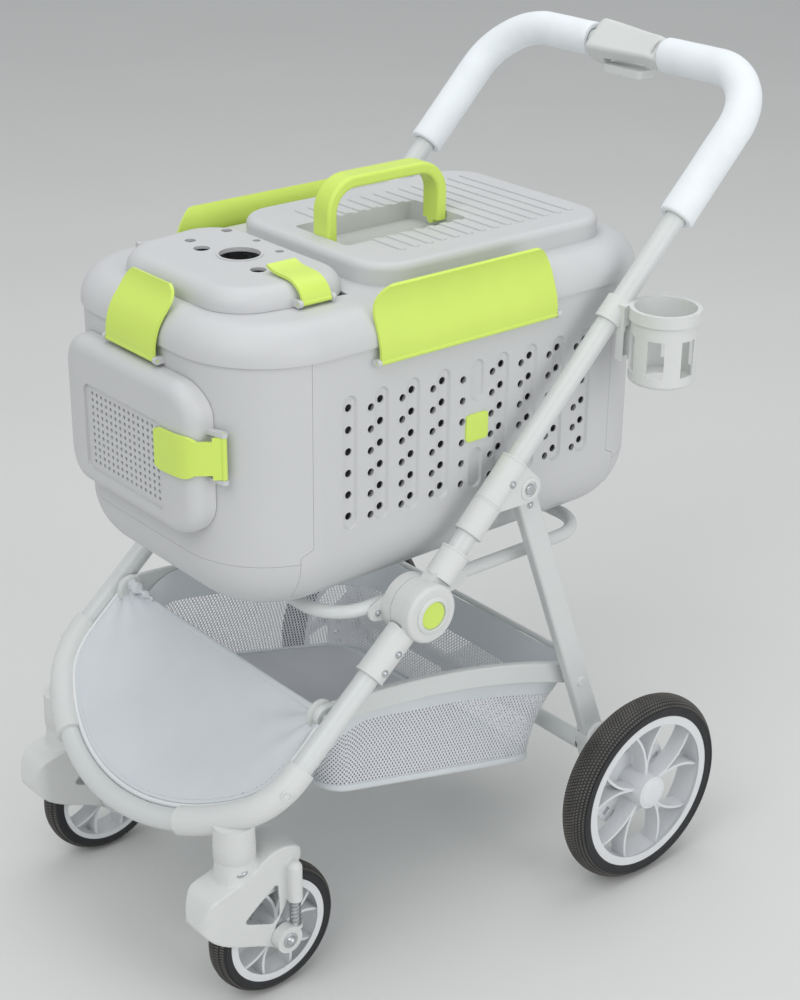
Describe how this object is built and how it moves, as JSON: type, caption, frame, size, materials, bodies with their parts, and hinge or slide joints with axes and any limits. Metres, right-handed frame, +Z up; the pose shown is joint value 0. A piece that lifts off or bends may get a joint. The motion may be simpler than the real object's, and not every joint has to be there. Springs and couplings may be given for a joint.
{
  "type": "pet stroller",
  "caption": "Folding pet stroller: a lift-off vented carrier with a front door on a push frame with sprung swivel casters, spoked rear wheels, a hung basket and a cup holder.",
  "frame": {"origin": "on the floor, at the middle of the base of the overall box", "axes": "+Z up, +X towards the stroller's left, -Y towards the front, where the carrier's door is"},
  "size_m": [0.632, 0.8478, 1.0096],
  "materials": {
    "frame_paint": "satin off-white paint",
    "frame_plastic": "fine matt light grey",
    "shell_plastic": "fine matt warm grey",
    "green_plastic": "satin lime green",
    "grip_foam": "soft white foam",
    "wheel_plastic": "satin pale grey",
    "tyre": "matt black rubber",
    "steel": "bright zinc",
    "basket_mesh": "open woven mesh",
    "basket_board": "grey covered board",
    "apron_cloth": "smooth pale coated cloth"
  },
  "bodies": {
    "chassis": {"front_frame": "frame_paint", "corner_castings": "frame_plastic", "lower_hubs": "frame_plastic", "hub_caps": "green_plastic", "hub_pins": "steel", "carrier_ring": "frame_paint", "ring_brackets": "frame_plastic", "front_apron": "apron_cloth", "rail_knobs": "frame_plastic"},
    "push_frame": {"handle_tube": "frame_paint", "left_grip": "grip_foam", "right_grip": "grip_foam", "release_housing": "frame_plastic", "pivot_brackets": "frame_plastic", "upper_hubs": "frame_plastic", "leg_pins": "steel", "cup_holder": "frame_plastic"},
    "fold_trigger": {"fold_trigger": "frame_plastic"},
    "rear_legs": {"left_rear_leg": "frame_paint", "right_rear_leg": "frame_paint", "rear_cross_tube": "frame_paint", "axle_housings": "frame_plastic", "rear_axles": "steel"},
    "brake_pedal": {"brake_pedal": "frame_plastic"},
    "rails": {"left_side_rail": "frame_paint", "right_side_rail": "frame_paint", "basket_wire": "frame_paint", "basket": "basket_mesh", "basket_floor": "basket_board"},
    "left_rear_wheel": {"left_rear_tyre": "tyre", "left_rear_rim": "wheel_plastic"},
    "right_rear_wheel": {"right_rear_tyre": "tyre", "right_rear_rim": "wheel_plastic"},
    "left_caster": {"left_caster_fork": "frame_plastic", "left_springs": "steel"},
    "left_front_axle": {"left_axle_block": "frame_plastic"},
    "left_front_wheel": {"left_front_tyre": "tyre", "left_front_rim": "wheel_plastic"},
    "right_caster": {"right_caster_fork": "frame_plastic", "right_springs": "steel"},
    "right_front_axle": {"right_axle_block": "frame_plastic"},
    "right_front_wheel": {"right_front_tyre": "tyre", "right_front_rim": "wheel_plastic"},
    "carrier": {"carrier_base": "shell_plastic", "front_shell": "shell_plastic", "rear_shell": "shell_plastic", "left_side_panel": "shell_plastic", "right_side_panel": "shell_plastic", "side_badges": "green_plastic", "lid": "shell_plastic", "top_deck": "shell_plastic"},
    "dome_hatch": {"dome_hatch": "shell_plastic"},
    "dome_latch": {"dome_latch": "green_plastic"},
    "front_door": {"front_door": "shell_plastic"},
    "door_latch": {"door_latch": "green_plastic"},
    "front_latch": {"front_latch": "green_plastic"},
    "left_side_flap": {"left_side_flap": "green_plastic"},
    "right_side_flap": {"right_side_flap": "green_plastic"},
    "carry_handle": {"carry_handle": "green_plastic"}
  },
  "joints": [
    {"name": "frame_fold", "type": "hinge", "parent": "chassis", "child": "push_frame", "pos_m": [0, -0.128, 0.454], "axis": [1, 0, 0], "range_deg": [0, 42]},
    {"name": "rear_leg_swing", "type": "hinge", "parent": "push_frame", "child": "rear_legs", "pos_m": [0, 0.02223, 0.56413], "axis": [1, 0, 0], "range_deg": [-17.2, 0]},
    {"name": "rail_swing", "type": "hinge", "parent": "chassis", "child": "rails", "pos_m": [0, -0.24897, 0.34791], "axis": [1, 0, 0], "range_deg": [0, 21.8]},
    {"name": "trigger_press", "type": "slide", "parent": "push_frame", "child": "fold_trigger", "axis": [0, 0, 1], "range_m": [0, 0.005], "stiffness_N_per_m": 300, "springref_m": -0.01},
    {"name": "brake_press", "type": "hinge", "parent": "rear_legs", "child": "brake_pedal", "pos_m": [0, 0.15883, 0.163], "axis": [-1, 0, 0], "range_deg": [0, 25]},
    {"name": "left_rear_spin", "type": "hinge", "parent": "rear_legs", "child": "left_rear_wheel", "pos_m": [0.292, 0.186, 0.125], "axis": [1, 0, 0], "continuous": true},
    {"name": "left_caster_swivel", "type": "hinge", "parent": "chassis", "child": "left_caster", "pos_m": [0.185, -0.362, 0.219], "axis": [0, 0, 1], "continuous": true},
    {"name": "left_suspension", "type": "slide", "parent": "left_caster", "child": "left_front_axle", "axis": [0, 0, 1], "range_m": [0, 0.008], "stiffness_N_per_m": 6000, "springref_m": -0.012, "deforming": ["left_springs"]},
    {"name": "left_front_spin", "type": "hinge", "parent": "left_front_axle", "child": "left_front_wheel", "pos_m": [0.185, -0.314, 0.083], "axis": [1, 0, 0], "continuous": true},
    {"name": "right_rear_spin", "type": "hinge", "parent": "rear_legs", "child": "right_rear_wheel", "pos_m": [-0.292, 0.186, 0.125], "axis": [1, 0, 0], "continuous": true},
    {"name": "right_caster_swivel", "type": "hinge", "parent": "chassis", "child": "right_caster", "pos_m": [-0.185, -0.362, 0.219], "axis": [0, 0, 1], "continuous": true},
    {"name": "right_suspension", "type": "slide", "parent": "right_caster", "child": "right_front_axle", "axis": [0, 0, 1], "range_m": [0, 0.008], "stiffness_N_per_m": 6000, "springref_m": -0.012, "deforming": ["right_springs"]},
    {"name": "right_front_spin", "type": "hinge", "parent": "right_front_axle", "child": "right_front_wheel", "pos_m": [-0.185, -0.314, 0.083], "axis": [1, 0, 0], "continuous": true},
    {"name": "carrier_lift", "type": "slide", "parent": "chassis", "child": "carrier", "axis": [0, 0, 1], "range_m": [0, 0.8]},
    {"name": "dome_hinge", "type": "hinge", "parent": "carrier", "child": "dome_hatch", "pos_m": [-0.147, -0.215, 0.809], "axis": [0, -1, 0], "range_deg": [0, 90]},
    {"name": "dome_latch_hinge", "type": "hinge", "parent": "dome_hatch", "child": "dome_latch", "pos_m": [0.1345, -0.202, 0.809], "axis": [0, 1, 0], "range_deg": [0, 100]},
    {"name": "door_hinge", "type": "hinge", "parent": "carrier", "child": "front_door", "pos_m": [-0.14, -0.342, 0.6535], "axis": [0, 0, -1], "range_deg": [0, 110]},
    {"name": "door_latch_hinge", "type": "hinge", "parent": "front_door", "child": "door_latch", "pos_m": [0.146, -0.333, 0.665], "axis": [0, 0, 1], "range_deg": [0, 100]},
    {"name": "front_latch_hinge", "type": "hinge", "parent": "carrier", "child": "front_latch", "pos_m": [0, -0.3505, 0.75], "axis": [1, 0, 0], "range_deg": [0, 85]},
    {"name": "left_flap_hinge", "type": "hinge", "parent": "carrier", "child": "left_side_flap", "pos_m": [0.1976, -0.036, 0.748], "axis": [0, 1, 0], "range_deg": [0, 95]},
    {"name": "right_flap_hinge", "type": "hinge", "parent": "carrier", "child": "right_side_flap", "pos_m": [-0.1976, -0.036, 0.748], "axis": [0, -1, 0], "range_deg": [0, 95]},
    {"name": "carry_handle_hinge", "type": "hinge", "parent": "carrier", "child": "carry_handle", "pos_m": [0, -0.004, 0.82], "axis": [0, 1, 0], "range_deg": [-60, 60]}
  ],
  "couplings": [
    {"joint": "rear_leg_swing", "follows": "frame_fold", "ratio": -0.405},
    {"joint": "rail_swing", "follows": "frame_fold", "ratio": 0.516}
  ]
}
